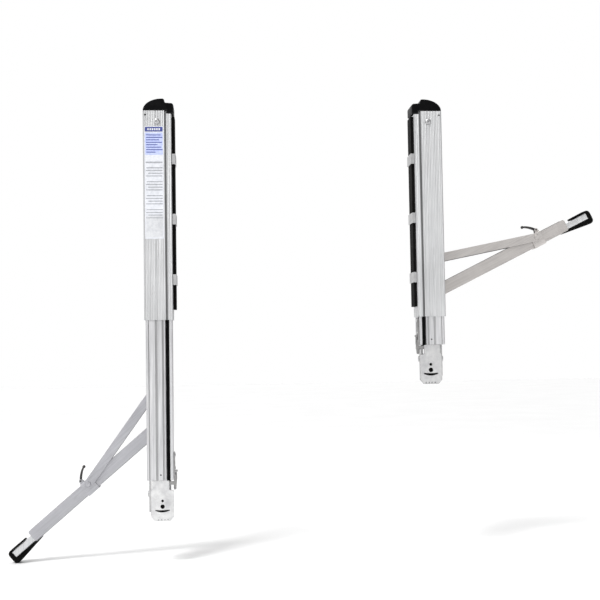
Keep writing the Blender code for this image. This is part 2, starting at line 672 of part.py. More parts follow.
COLLAR_BACK = -0.0120
COLLAR_FRONT = 0.0130
LATCH_AXIS = (0.0085, 0.0190)    # along the arm from the collar's pin, and above its middle line
LATCH_PIN = 0.0015


def add_collar(unit, frame):
    """A sleeve round the arm with a trunnion each side for the strut and two ears on top."""
    sleeve = 0.0003
    hole = rectangle(-ARM_HALF_DEPTH - sleeve, ARM_HALF_DEPTH + sleeve, -ARM_HALF - sleeve, ARM_HALF + sleeve)
    ring = rounded(-0.0125, 0.0125, -0.0140, 0.0140, 0.0015)
    node = unit.add("collar", shape("x", ring, COLLAR_BACK, COLLAR_FRONT, [hole]), "plated_steel", frame)
    for side in (-1, 1):
        pin = turned([(0, 0.0115), (PIN_RADIUS, 0.0115), (PIN_RADIUS, STRUT_HALF_DEPTH + GAP),
                      (0.0054, STRUT_HALF_DEPTH + GAP), (0.0048, 0.0162), (0, 0.0166)])
        bmesh.ops.scale(pin, vec=(1, side, 1), verts=pin.verts[:])
        bmesh.ops.recalc_face_normals(pin, faces=pin.faces[:])
        bmesh.ops.translate(pin, vec=(0, 0, COLLAR_PIN_HEIGHT), verts=pin.verts[:])
        unit.combine(node, pin, "UNION", frame)
        ear = [(LATCH_AXIS[0] - 0.0045, 0.0135), *arc(LATCH_AXIS, 0.0032, 180, 0, 6)]
        ear.append((LATCH_AXIS[0] + 0.0045, 0.0135))
        low, high = sorted((side * 0.0030, side * 0.0052))
        unit.combine(node, shape("y", ear, low, high, [circle(LATCH_AXIS, LATCH_PIN + GAP, 12)]), "UNION", frame)


def add_latch(unit, frame):
    """A curved finger lever with a round knob; its hub carries the short pivot."""
    hub = circle(LATCH_AXIS, 0.0030, 12)
    node = unit.add("latch_lever", shape("y", hub, -0.0027, 0.0027), "dark_steel", frame,
                    (LATCH_AXIS[0], 0.0, LATCH_AXIS[1]), smooth=True)
    pin = shape("y", circle(LATCH_AXIS, LATCH_PIN, 12), -0.0060, 0.0060)
    unit.combine(node, pin, "UNION", frame)
    upper = []
    lower = []
    for index in range(7):
        t = index / 6
        along = LATCH_AXIS[0] - 0.0010 - 0.0205 * t
        rise = LATCH_AXIS[1] + 0.0010 + 0.0235 * t - 0.0080 * t * t
        thick = 0.0019 - 0.0005 * t
        upper.append((along + thick * 0.7, rise + thick))
        lower.append((along - thick * 0.7, rise - thick))
    unit.combine(node, shape("y", lower + upper[::-1], -0.0022, 0.0022), "UNION", frame)
    tip = (LATCH_AXIS[0] - 0.0220, LATCH_AXIS[1] + 0.0165)
    knob = turned([(0, -0.0032), (0.0022, -0.0026), (0.0030, -0.0010), (0.0030, 0.0010),
                   (0.0022, 0.0026), (0, 0.0032)], 12)
    bmesh.ops.translate(knob, vec=(tip[0], 0, tip[1]), verts=knob.verts[:])
    unit.combine(node, knob, "UNION", frame)


def add_inner_tube(unit, frame):
    outline = rounded(-0.0080, 0.0080, TUBE_LOW, TUBE_HIGH, 0.0012)
    hollow = rounded(-0.0064, 0.0064, TUBE_LOW + 0.0016, TUBE_HIGH - 0.0016, 0.0006)
    bm = shape("x", outline, 0.2300, FOOT_TIP - 0.0083, [hollow])
    unit.add("inner_tube", bm, "bright_aluminium", frame)


def add_rubber_foot(unit, frame):
    """A pad bent round the tube's end: thin above, a long thick wedge below."""
    top = TUBE_HIGH + GAP
    low = TUBE_LOW - GAP
    outline = [(0.3260, top), (FOOT_TIP - 0.0080, top), (FOOT_TIP - 0.0080, low), (0.3150, low)]
    outline += [(0.3150, -ARM_HALF - GAP), (0.3000, -ARM_HALF - GAP), (0.3000, -ARM_HALF - GAP - 0.0012)]
    outline += [(0.3500, -0.0196), (0.3620, -0.0205), (0.3665, -0.0180), (FOOT_TIP, -0.0120)]
    outline += [(FOOT_TIP, 0.0010), (0.3655, 0.0062), (0.3600, top + 0.0040), (0.3260, top + 0.0036)]
    unit.add("rubber_foot", shape("y", outline, -0.0092, 0.0092), "black_rubber", frame)


def collar_place(angle):
    """Where the collar sits on the arm and how the strut lies to it, from the arm's angle."""
    turn = math.radians(angle)
    du = STRUT_PIVOT[0] - ARM_PIVOT[0]
    dz = STRUT_PIVOT[1] - ARM_PIVOT[1]
    along = du * math.cos(turn) + dz * math.sin(turn)
    above = dz * math.cos(turn) - du * math.sin(turn) - COLLAR_PIN_HEIGHT
    reach = math.sqrt(STRUT_LENGTH ** 2 - above ** 2)
    return along + reach, -math.degrees(math.asin(above / STRUT_LENGTH))


def build_unit(tag, side, drawn_out, angle):
    unit = Unit(tag, side)
    root = unit.frame("unit", (0.0, 0.0, 0.0))
    add_housing(unit, root)
    add_top_cap(unit, root)
    add_stop_bolt(unit, root)
    add_backing_strip(unit, root)
    add_rail_blocks(unit, root)
    add_lock_rack(unit, root)
    foot = HOUSING_TOP - HOUSING_LENGTH - RETRACTED - drawn_out
    leg = unit.frame("leg_frame", (0.0, 0.0, foot), root)
    for step in (add_leg, add_top_plug, add_pawl, add_lock_spring, add_lock_rod, add_lock_lever,
                 add_lock_plate, add_lever_pin, add_foot_yoke, add_shoe, add_shoe_bolt,
                 add_shoe_nut, add_bracket, add_pivot_pins):
        step(unit, leg)
    arm = unit.frame("arm_axis", (ARM_PIVOT[0], PLANE, ARM_PIVOT[1]), leg, angle)
    add_arm(unit, arm)
    add_inner_tube(unit, arm)
    add_rubber_foot(unit, arm)
    place, lean = collar_place(angle)
    collar = unit.frame("collar_frame", (place, 0.0, 0.0), arm)
    add_collar(unit, collar)
    add_latch(unit, collar)
    strut = unit.frame("strut_axis", (0.0, 0.0, COLLAR_PIN_HEIGHT), collar, lean)
    add_strut(unit, strut)


clear_scene()
for settings in UNITS:
    build_unit(*settings)
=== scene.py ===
import json
import math

import bmesh
import bpy
from mathutils import Matrix, Vector

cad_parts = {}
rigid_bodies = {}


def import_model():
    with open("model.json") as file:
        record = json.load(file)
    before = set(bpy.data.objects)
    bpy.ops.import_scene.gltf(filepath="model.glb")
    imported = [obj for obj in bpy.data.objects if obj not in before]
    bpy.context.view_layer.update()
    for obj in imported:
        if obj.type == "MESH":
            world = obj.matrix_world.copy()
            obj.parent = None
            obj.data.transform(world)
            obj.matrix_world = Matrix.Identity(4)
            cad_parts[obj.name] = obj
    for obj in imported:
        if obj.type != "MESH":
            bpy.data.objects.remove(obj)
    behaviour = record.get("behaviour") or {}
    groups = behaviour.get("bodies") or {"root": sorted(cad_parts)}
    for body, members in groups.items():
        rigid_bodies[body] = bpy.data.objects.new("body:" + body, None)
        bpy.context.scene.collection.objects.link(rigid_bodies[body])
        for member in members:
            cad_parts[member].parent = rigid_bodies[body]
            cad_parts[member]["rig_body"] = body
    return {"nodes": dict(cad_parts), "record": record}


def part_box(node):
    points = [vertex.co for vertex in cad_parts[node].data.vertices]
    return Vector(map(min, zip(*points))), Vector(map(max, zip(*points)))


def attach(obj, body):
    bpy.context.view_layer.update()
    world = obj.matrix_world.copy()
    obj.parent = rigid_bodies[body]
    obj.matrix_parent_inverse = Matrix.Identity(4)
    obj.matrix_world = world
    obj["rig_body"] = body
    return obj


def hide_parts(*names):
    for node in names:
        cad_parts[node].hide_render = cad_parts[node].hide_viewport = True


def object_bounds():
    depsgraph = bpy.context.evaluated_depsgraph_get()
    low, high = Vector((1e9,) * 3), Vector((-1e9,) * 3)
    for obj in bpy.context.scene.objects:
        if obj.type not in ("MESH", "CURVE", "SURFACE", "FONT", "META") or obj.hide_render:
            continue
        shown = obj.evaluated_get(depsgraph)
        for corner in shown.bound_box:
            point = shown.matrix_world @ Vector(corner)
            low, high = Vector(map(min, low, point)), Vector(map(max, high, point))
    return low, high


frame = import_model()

CAD_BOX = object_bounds()
SCENE = bpy.context.scene
SIDES = (("left", -1), ("right", 1))
ARM_DEGREES = {"left": -40.4, "right": 26.3}      # how far each outrigger is raised
SHARP = math.radians(34)                          # edges steeper than this are rounded
GAP = 0.0003                                      # clearance between neighbouring parts
SLOT_OF = {part["node"]: part["material_slot"] for part in frame["record"]["subparts"]}


# ---------------------------------------------------------------- materials

def ramp(nodes, stops):
    """A colour ramp from (position, value or colour) stops."""
    made = nodes.new("ShaderNodeValToRGB")
    elements = made.color_ramp.elements
    while len(elements) < len(stops):
        elements.new(0.5)
    for element, (position, value) in zip(elements, stops):
        element.position = position
        element.color = (*value, 1.0) if isinstance(value, tuple) else (value, value, value, 1.0)
    return made


class Finish:
    """A node material whose textures are read in the object's own space."""

    def __init__(self, name, metallic=0.0, turn=0.0):
        self.made = bpy.data.materials.new(name)
        self.made.use_nodes = True
        self.nodes = self.made.node_tree.nodes
        self.links = self.made.node_tree.links
        self.shader = self.nodes["Principled BSDF"]
        self.shader.inputs["Metallic"].default_value = metallic
        self.turn = turn
        self.place = self.nodes.new("ShaderNodeTexCoord").outputs["Object"]

    def noise(self, scale, stretch=(1, 1, 1), detail=4.0, rough=0.5):
        """Noise stretched along an axis, its space turned about Y first."""
        space = self.nodes.new("ShaderNodeMapping")
        space.vector_type = "TEXTURE"
        space.inputs["Rotation"].default_value = (0, self.turn, 0)
        space.inputs["Scale"].default_value = stretch
        self.links.new(self.place, space.inputs["Vector"])
        made = self.nodes.new("ShaderNodeTexNoise")
        made.inputs["Scale"].default_value = scale
        made.inputs["Detail"].default_value = detail
        made.inputs["Roughness"].default_value = rough
        self.links.new(space.outputs["Vector"], made.inputs["Vector"])
        return made.outputs["Fac"]

    def cells(self, scale):
        made = self.nodes.new("ShaderNodeTexVoronoi")
        made.inputs["Scale"].default_value = scale
        self.links.new(self.place, made.inputs["Vector"])
        return made.outputs["Color"]

    def toned(self, source, stops):
        made = ramp(self.nodes, stops)
        self.links.new(source, made.inputs["Fac"])
        return made.outputs["Color"]

    def blend(self, first, second, factor=1.0, kind="MULTIPLY"):
        made = self.nodes.new("ShaderNodeMix")
        made.data_type = "RGBA"
        made.blend_type = kind
        made.inputs["Factor"].default_value = factor
        self.links.new(first, made.inputs[6])
        self.links.new(second, made.inputs[7])
        return made.outputs[2]

    def within(self, source, low, high):
        """1 between two values, 0 outside them."""
        halves = []
        for kind, limit in (("GREATER_THAN", low), ("LESS_THAN", high)):
            made = self.nodes.new("ShaderNodeMath")
            made.operation = kind
            made.inputs[1].default_value = limit
            self.links.new(source, made.inputs[0])
            halves.append(made.outputs["Value"])
        both = self.nodes.new("ShaderNodeMath")
        both.operation = "MULTIPLY"
        self.links.new(halves[0], both.inputs[0])
        self.links.new(halves[1], both.inputs[1])
        return both.outputs["Value"]

    def painted_groove_shade(self, front, back, inner, outer, shade):
        """Painted shade on groove floors: a darker tone between two depths, front to back, and two distances
        out, inner to outer.
        """
        parts = self.nodes.new("ShaderNodeSeparateXYZ")
        self.links.new(self.place, parts.inputs["Vector"])
        side = self.nodes.new("ShaderNodeMath")
        side.operation = "ABSOLUTE"
        self.links.new(parts.outputs["X"], side.inputs[0])
        both = self.nodes.new("ShaderNodeMath")
        both.operation = "MULTIPLY"
        self.links.new(self.within(parts.outputs["Y"], front, back), both.inputs[0])
        self.links.new(self.within(side.outputs["Value"], inner, outer), both.inputs[1])
        return self.toned(both.outputs["Value"], ((0.0, 1.0), (1.0, shade)))

    def colour(self, source):
        self.links.new(source, self.shader.inputs["Base Color"])

    def roughness(self, source):
        self.links.new(source, self.shader.inputs["Roughness"])

    def bump(self, source, depth, strength=1.0):
        made = self.nodes.new("ShaderNodeBump")
        made.inputs["Strength"].default_value = strength
        made.inputs["Distance"].default_value = depth
        self.links.new(source, made.inputs["Height"])
        self.links.new(made.outputs["Normal"], self.shader.inputs["Normal"])


def aluminium(name, dark, light, rough, along="z", turn=0.0, painted_groove_shade=None, banding=0.5):
    """Extruded aluminium: die lines along the length, handling marks and dulled patches, and painted shade on
    groove floors when asked for.
    """
    made = Finish(name, 0.88, turn)
    stretch = (1, 1, 60) if along == "z" else (60, 1, 1)
    lines = made.noise(620.0, stretch, 5.0, 0.62)
    patches = made.noise(14.0, (1, 1, 2), 4.0, 0.6)
    scuffs = made.noise(95.0, (1, 1, 5) if along == "z" else (5, 1, 1), 6.0, 0.7)
    bands = made.noise(150.0, (1, 1, 400) if along == "z" else (400, 1, 1), 2.0, 0.5)
    base = made.toned(lines, ((0.32, dark), (0.68, light)))
    base = made.blend(base, made.toned(bands, ((0.38, 0.80), (0.50, 1.0), (0.62, 0.88))), banding)
    base = made.blend(base, made.toned(patches, ((0.30, 0.88), (0.62, 1.0))))
    base = made.blend(base, made.toned(scuffs, ((0.30, 0.84), (0.40, 1.0))))
    # painted shade on the groove floors
    if painted_groove_shade:
        base = made.blend(base, made.painted_groove_shade(*painted_groove_shade))
    made.colour(base)
    sheen = made.blend(made.toned(lines, ((0.30, rough - 0.06), (0.70, rough + 0.06))),
                       made.toned(scuffs, ((0.30, rough + 0.22), (0.48, rough))), 0.5, "LIGHTEN")
    made.roughness(sheen)
    made.bump(lines, 0.00001, 0.2)
    return made.made


def plated(name, dark, light, rough):
    """Zinc-plated steel: fine spangle and cloudy passivation. With dark tones it also serves for painted
    shade on edges, inside channels and on the lock parts.
    """
    made = Finish(name, 0.92)
    cloud = made.noise(55.0, detail=5.0, rough=0.6)
    spangle = made.cells(420.0)
    grain = made.noise(1500.0, detail=3.0)
    base = made.toned(cloud, ((0.30, dark), (0.66, light)))
    base = made.blend(base, made.toned(spangle, ((0.0, 0.95), (1.0, 1.0))))
    made.colour(base)
    made.roughness(made.toned(cloud, ((0.32, rough + 0.12), (0.64, rough))))
    made.bump(grain, 0.00003, 0.4)
    return made.made


def dark_steel(name):
    """Blackened steel, with worn and duller patches."""
    made = Finish(name, 0.85)
    cloud = made.noise(70.0, detail=5.0, rough=0.65)
    made.colour(made.toned(cloud, ((0.30, (0.035, 0.034, 0.036)), (0.68, (0.085, 0.082, 0.08)))))
    made.roughness(made.toned(cloud, ((0.30, 0.52), (0.66, 0.34))))
    made.bump(made.noise(900.0, detail=4.0), 0.0001, 0.5)
    return made.made


def moulded(name, dark, light, rough, grain_scale, grain_depth, sheen=0.0):
    """Black plastic or rubber: mould texture and a dusty bloom."""
    made = Finish(name)
    bloom = made.noise(38.0, detail=6.0, rough=0.7)
    grain = made.noise(grain_scale, detail=3.0)
    made.colour(made.toned(bloom, ((0.34, dark), (0.70, light))))
    made.roughness(made.toned(bloom, ((0.30, rough - 0.07), (0.70, rough + 0.09))))
    made.bump(grain, grain_depth, 0.6)
    made.shader.inputs["Sheen Weight"].default_value = sheen
    made.shader.inputs["Specular IOR Level"].default_value = 0.04
    return made.made


def film(name, dark, light):
    """Printed label film: screen-printed ink with slight mottling under a clear coat."""
    made = Finish(name)
    mottle = made.noise(240.0, detail=5.0, rough=0.6)
    base = made.toned(mottle, ((0.30, dark), (0.66, light)))
    base = made.blend(base, made.toned(made.noise(30.0, detail=5.0), ((0.30, 0.88), (0.50, 1.0))))
    made.colour(base)
    made.roughness(made.toned(mottle, ((0.30, 0.42), (0.70, 0.30))))
    made.bump(mottle, 0.00003, 0.4)
    made.shader.inputs["Coat Weight"].default_value = 0.3
    return made.made


# The tuples given to housing and leg paint shade on their groove floors.
LOOKS = {
    "housing_aluminium": aluminium("housing_aluminium", (0.58, 0.585, 0.595), (0.78, 0.785, 0.79), 0.40,
                                   painted_groove_shade=(-0.0210, -0.0180, 0.2425, 0.2475, 0.30)),
    "leg_aluminium": aluminium("leg_aluminium", (0.56, 0.56, 0.575), (0.84, 0.84, 0.85), 0.38,
                               painted_groove_shade=(-0.0194, -0.0174, 0.2505, 0.2815, 0.60), banding=0.3),
    "bright_steel": plated("bright_steel", (0.44, 0.44, 0.45), (0.66, 0.66, 0.66), 0.30),
    "shoe_steel": plated("shoe_steel", (0.58, 0.58, 0.59), (0.82, 0.82, 0.82), 0.28),
    "dark_steel": dark_steel("dark_steel"),
    "black_plastic": moulded("black_plastic", (0.002, 0.002, 0.0024), (0.006, 0.006, 0.0064), 0.46,
                             1400.0, 0.00006),
    "black_rubber": moulded("black_rubber", (0.002, 0.002, 0.002), (0.006, 0.006, 0.0057), 0.76,
                            700.0, 0.0001, 0.01),
}
# The look of the rounded edges of each slot's pieces, where that differs from their faces: worn edges on dark
# steel, black plastic and rubber; painted shade along the edges of the arms and the shoe.
EDGE_WEAR_AND_SHADE = {
    "dark_steel": plated("dark_steel_rim", (0.16, 0.16, 0.165), (0.34, 0.335, 0.33), 0.30),
    "black_plastic": moulded("black_plastic_rim", (0.010, 0.010, 0.011), (0.030, 0.030, 0.031), 0.34,
                             900.0, 0.00005),
    "arm_aluminium": plated("arm_rim_painted_shade", (0.10, 0.10, 0.105), (0.24, 0.235, 0.23), 0.42),
    "shoe_steel": plated("shoe_rim_painted_shade", (0.05, 0.05, 0.052), (0.14, 0.14, 0.138), 0.40),
    "black_rubber": moulded("black_rubber_rim", (0.010, 0.010, 0.010), (0.028, 0.027, 0.026), 0.66,
                            500.0, 0.0001),
}
ARM_TURNS = {"left": math.radians(ARM_DEGREES["left"]), "right": -math.radians(ARM_DEGREES["right"])}
# The outriggers are one aluminium: the left arm, strut and collar are painted darker and bluer as shade, the
# right ones lighter and warmer as painted light.
ARM_LIT_AND_SHADED_LOOKS = {
    "left": aluminium("arm_aluminium_left_shaded", (0.42, 0.42, 0.445), (0.54, 0.54, 0.57), 0.40, "x",
                      ARM_TURNS["left"], banding=0.2),
    "right": aluminium("arm_aluminium_right_lit", (0.53, 0.505, 0.49), (0.65, 0.62, 0.60), 0.40, "x",
                       ARM_TURNS["right"], banding=0.2),
}
ARM_TONED = ("outrigger_arm", "strut", "collar")
# Painted shade on the inner walls and floors of the arm's and strut's channels.
CHANNEL_PAINTED_SHADE_LOOK = plated("channel_inside_painted_shade", (0.09, 0.087, 0.085), (0.17, 0.165, 0.16), 0.58)
CHANNELS = {"outrigger_arm": (0.0087, 1), "strut": (0.0130, -1)}    # half the inner width; 1 is open above
CHANNEL_PLANE = 0.0412                                              # depth of both channels' middle plane
LABEL_LOOKS = {
    "film": film("label_film", (0.66, 0.68, 0.73), (0.78, 0.79, 0.83)),
    "header": film("label_header", (0.030, 0.045, 0.22), (0.05, 0.07, 0.30)),
    "block": film("label_block", (0.42, 0.48, 0.80), (0.56, 0.62, 0.90)),
    "bars": film("label_bars", (0.30, 0.31, 0.34), (0.44, 0.45, 0.48)),
    "panel": film("label_panel", (0.58, 0.59, 0.62), (0.70, 0.71, 0.73)),
}
# The lock parts are a mid-grey steel, darker than the bright steel, as painted shade.
LOCK_SHADED_LOOK = plated("lock_steel_painted_shade", (0.20, 0.20, 0.205), (0.42, 0.415, 0.41), 0.34)
LOCK_TONED = ("lock_lever", "lock_plate", "lever_pin")


def look(name, tag):
    """The material of a piece that follows a CAD node."""
    if name in LOCK_TONED:
        return LOCK_SHADED_LOOK
    return ARM_LIT_AND_SHADED_LOOKS[tag] if name in ARM_TONED else LOOKS[SLOT_OF[name + "_" + tag]]


# ---------------------------------------------------------------- mesh helpers

def finish_piece(name, bm, made, slot, body, nodes=(), bevel=0.0, segments=2):
    """Turn a mesh into a riding piece; bevel rounds its sharp edges."""
    mesh = bpy.data.meshes.new(name)
    bm.to_mesh(mesh)
    bm.free()
    mesh.materials.append(made)
    mesh.shade_smooth()
    mesh.set_sharp_from_angle(angle=SHARP)
    piece = bpy.data.objects.new(name, mesh)
    SCENE.collection.objects.link(piece)
    if bevel:
        rounder = piece.modifiers.new("edges", "BEVEL")
        # The rim look is edge wear for dark steel, plastic and rubber, and painted edge shade for the arms
        # and the shoe.
        if slot in EDGE_WEAR_AND_SHADE:
            mesh.materials.append(EDGE_WEAR_AND_SHADE[slot])
            rounder.material = 1
        rounder.width = bevel
        rounder.segments = segments
        rounder.limit_method = "ANGLE"
        rounder.angle_limit = SHARP
        rounder.use_clamp_overlap = True
        rounder.harden_normals = True
    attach(piece, body)
    if nodes:
        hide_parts(*nodes)
    return piece


def body_of(node):
    return frame["nodes"][node]["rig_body"]


def cleaned(node):
    """A CAD node's mesh with its flat faces joined up, ready for rounded edges."""
    bm = bmesh.new()
    bm.from_mesh(frame["nodes"][node].data)
    bmesh.ops.remove_doubles(bm, verts=bm.verts[:], dist=0.000004)
    bmesh.ops.dissolve_limit(bm, angle_limit=math.radians(0.6), verts=bm.verts[:], edges=bm.edges[:])
    bmesh.ops.recalc_face_normals(bm, faces=bm.faces[:])
    for layer in list(bm.loops.layers.uv):
        bm.loops.layers.uv.remove(layer)
    return bm


def prism(outline, low, high, place):
    """A flat outline extruded between two depths; place maps (a, b, depth) to a point."""
    bm = bmesh.new()
    rings = [[bm.verts.new(place(a, b, depth)) for a, b in outline] for depth in (low, high)]
    bm.faces.new(rings[0])
    bm.faces.new(rings[1])
    for index in range(len(outline)):
        after = (index + 1) % len(outline)
        bm.faces.new((rings[0][index], rings[0][after], rings[1][after], rings[1][index]))
    bmesh.ops.recalc_face_normals(bm, faces=bm.faces[:])
    return bm


def arc(centre, radius, start, end, steps):
    """Points along a circle between two angles in degrees."""
    points = []
    for index in range(steps + 1):
        angle = math.radians(start + (end - start) * index / steps)
        points.append((centre[0] + radius * math.cos(angle), centre[1] + radius * math.sin(angle)))
    return points


def rounded(low_a, high_a, low_b, high_b, radius, steps=6):
    """The outline of a rectangle with round corners."""
    points = arc((high_a - radius, low_b + radius), radius, -90, 0, steps)
    points += arc((high_a - radius, high_b - radius), radius, 0, 90, steps)
    points += arc((low_a + radius, high_b - radius), radius, 90, 180, steps)
    points += arc((low_a + radius, low_b + radius), radius, 180, 270, steps)
    return points


def lathe(profile, centre, toward, steps=48):
    """A turned solid along a unit direction, from (radius, along, corners) rings; corners makes a hexagon."""
    bm = bmesh.new()
    turn = Vector((0, 0, 1)).rotation_difference(Vector(toward)).to_matrix()
    rings = []
    for radius, along, corners in profile:
        ring = []
        for index in range(steps):
            angle = 2 * math.pi * index / steps
            reach = radius
            if corners:
                sector = 2 * math.pi / corners
                reach = radius * math.cos(sector / 2) / math.cos(angle % sector - sector / 2)
            point = Vector((reach * math.cos(angle), reach * math.sin(angle), along))
            ring.append(bm.verts.new(Vector(centre) + turn @ point))
        rings.append(ring)
    for first, second in zip(rings, rings[1:]):
        for index in range(steps):
            after = (index + 1) % steps
            bm.faces.new((first[index], first[after], second[after], second[index]))
    bm.faces.new(rings[0])
    bm.faces.new(rings[-1])
    bmesh.ops.recalc_face_normals(bm, faces=bm.faces[:])
    return bm


def join(parts):
    """Several meshes as one."""
    whole = bmesh.new()
    for part in parts:
        mesh = bpy.data.meshes.new("part")
        part.to_mesh(mesh)
        part.free()
        whole.from_mesh(mesh)
        bpy.data.meshes.remove(mesh)
    return whole


# ---------------------------------------------------------------- pieces made from CAD nodes

# How wide each node's rounded edges are.
EDGE = {"housing": 0.0003, "leg": 0.0003, "outrigger_arm": 0.0010, "strut": 0.0008, "collar": 0.0005,
        "outrigger_bracket": 0.0006, "shoe": 0.0008, "foot_yoke": 0.0005, "rail_block_top": 0.0008,
        "rail_block_mid": 0.0008, "rail_block_low": 0.0008, "backing_strip": 0.0005, "lock_rack": 0.0001,
        "leg_top_plug": 0.0005, "lock_plate": 0.0005, "lock_lever": 0.0005, "lock_pawl": 0.0002,
        "lock_rod": 0.0003, "inner_tube": 0.0003, "latch_lever": 0.0003, "shoe_nut": 0.0004,
        "lever_pin": 0.0002, "lock_spring": 0.0, "arm_pin": 0.0, "strut_pin": 0.0, "shoe_bolt": 0.0}


def mark_painted_shade_inside(bm, inner, opening):
    """Give a channel's inner walls and floor the third material, which is painted shade."""
    for face in bm.faces:
        off = face.calc_center_median().y - CHANNEL_PLANE
        wall = abs(off) > 0.8 * inner and off * face.normal.y < -0.5 * abs(off)
        floor = abs(off) < 0.8 * inner and face.normal.z * opening > 0.3
        if abs(off) < inner + 0.0002 and (wall or floor):
            face.material_index = 2


def add_refined(tag):
    """A piece for each CAD node in EDGE: its own shape, with rounded edges."""
    for name, width in EDGE.items():
        node = name + "_" + tag
        slot = SLOT_OF[node]
        bm = cleaned(node)
        # Channel insides get the painted-shade material.
        if name in CHANNELS:
            mark_painted_shade_inside(bm, *CHANNELS[name])
        piece = finish_piece(node + "_detail", bm, look(name, tag), slot, body_of(node), [node], width)
        if name in CHANNELS:
            piece.data.materials.append(CHANNEL_PAINTED_SHADE_LOOK)


# ---------------------------------------------------------------- custom pieces

def add_top_cap(tag, side):
    """A moulded cap: a domed shoulder, a flat crown and a lower nose towards the rail."""
    low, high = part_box("top_cap_" + tag)
    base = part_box("housing_" + tag)[1].z + GAP
    outer = max(abs(low.x), abs(high.x))
    crown = high.z - base
    points = []
    shoulder_steps = 24
    for index in range(shoulder_steps + 1):
        angle = math.radians(90.0 * index / shoulder_steps)
        points.append((outer - 0.0355 * (1 - math.cos(angle)), base + crown * math.sin(angle)))
    inner = min(abs(low.x), abs(high.x))
    points += [(inner + 0.0200, high.z), (inner + 0.0178, high.z - 0.0014), (inner + 0.0162, base + 0.0152)]
    points += [(inner + 0.0075, base + 0.0146)]
    points += arc((inner + 0.0055, base + 0.0090), 0.0055, 80, 178, 8)
    points += [(inner, low.z), (0.2427, low.z), (0.2427, base)]
    bm = prism(points, low.y, high.y, lambda a, b, depth: (side * a, depth, b))
    finish_piece("top_cap_" + tag + "_detail", bm, LOOKS["black_plastic"], "black_plastic", "housings",
                 ["top_cap_" + tag], 0.0018, 4)


def add_stop_bolt(tag):
    """A domed bolt with a hexagon socket."""
    low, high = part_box("stop_bolt_" + tag)
    centre = ((low.x + high.x) / 2, low.y, (low.z + high.z) / 2)
    reach = high.y - low.y
    profile = [(0.0024, 0.0020, 6), (0.0024, 0.0002, 6), (0.0027, 0.0, 0), (0.0040, 0.0003, 0),
               (0.0051, 0.0011, 0), (0.0056, 0.0022, 0), (0.0057, 0.0030, 0), (0.0057, 0.0033, 0),
               (0.0030, 0.0033, 0), (0.0030, reach - 0.0008, 0), (0.0023, reach, 0)]
    bm = lathe(profile, centre, (0, 1, 0))
    finish_piece("stop_bolt_" + tag + "_detail", bm, LOOKS["bright_steel"], "bright_steel", "housings",
                 ["stop_bolt_" + tag])


def add_label(tag, side):
    """A printed film on the housing's front: plain blocks and bars, with no lettering."""
    low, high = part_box("housing_" + tag)
    outer = max(abs(low.x), abs(high.x))
    face = low.y
    left = outer - 0.0385
    right = outer - 0.0030
    top = high.z

    def plate(a_low, a_high, down_low, down_high, lift, radius):
        outline = rounded(a_low, a_high, top - down_high, top - down_low, radius, 4)
        return prism(outline, face - lift, face - lift + 0.00012, lambda a, b, depth: (side * a, depth, b))

    def piece(name, parts, kind):
        finish_piece("label_" + name + "_" + tag, join(parts), LABEL_LOOKS[kind], "label_print", "housings")

    piece("film", [plate(left, right, 0.0300, 0.2450, 0.00018, 0.0015)], "film")
    piece("header", [plate(left + 0.001, right - 0.001, 0.0315, 0.0405, 0.00026, 0.0008)], "header")
    piece("block", [plate(left + 0.001, right - 0.001, 0.0425, 0.0850, 0.00024, 0.0008)], "block")
    header_bars = []
    for index in range(6):
        start = left + 0.006 + 0.0042 * index
        header_bars.append(plate(start, start + 0.0028, 0.0340, 0.0380, 0.00034, 0.0004))
    piece("header_bars", header_bars, "film")
    lines = []
    lengths = (0.028, 0.031, 0.025, 0.030, 0.022, 0.029, 0.031, 0.018)
    for index, length in enumerate(lengths):
        down = 0.0462 + 0.0047 * index
        lines.append(plate(right - 0.003 - length, right - 0.003, down, down + 0.0016, 0.00032, 0.0004))
    piece("block_lines", lines, "header")
    bars = [plate(left + 0.002, right - 0.002, 0.0980, 0.1010, 0.00028, 0.0004)]
    down = 0.1090
    for index in range(16):
        length = (0.030, 0.0315, 0.027, 0.0315)[index % 4]
        bars.append(plate(left + 0.002, left + 0.002 + length, down, down + 0.0017, 0.00028, 0.0004))
        down += 0.0052 if index % 4 < 3 else 0.0110
    piece("bars", bars, "bars")
    piece("panel", [plate(left + 0.002, right - 0.002, 0.2020, 0.2420, 0.00024, 0.0008)], "panel")


class ArmSpace:
    """Maps distances along, across and above an outrigger to world points."""

    def __init__(self, tag, side):
        low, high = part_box("arm_pin_" + tag)
        arm_low, arm_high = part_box("inner_tube_" + tag)
        self.side = side
        self.turn = math.radians(ARM_DEGREES[tag])
        self.u = side * (low.x + high.x) / 2
        self.z = (low.z + high.z) / 2
        self.y = (arm_low.y + arm_high.y) / 2

    def __call__(self, along, above, across):
        u = self.u + along * math.cos(self.turn) - above * math.sin(self.turn)
        z = self.z + along * math.sin(self.turn) + above * math.cos(self.turn)
        return (self.side * u, self.y + across, z)


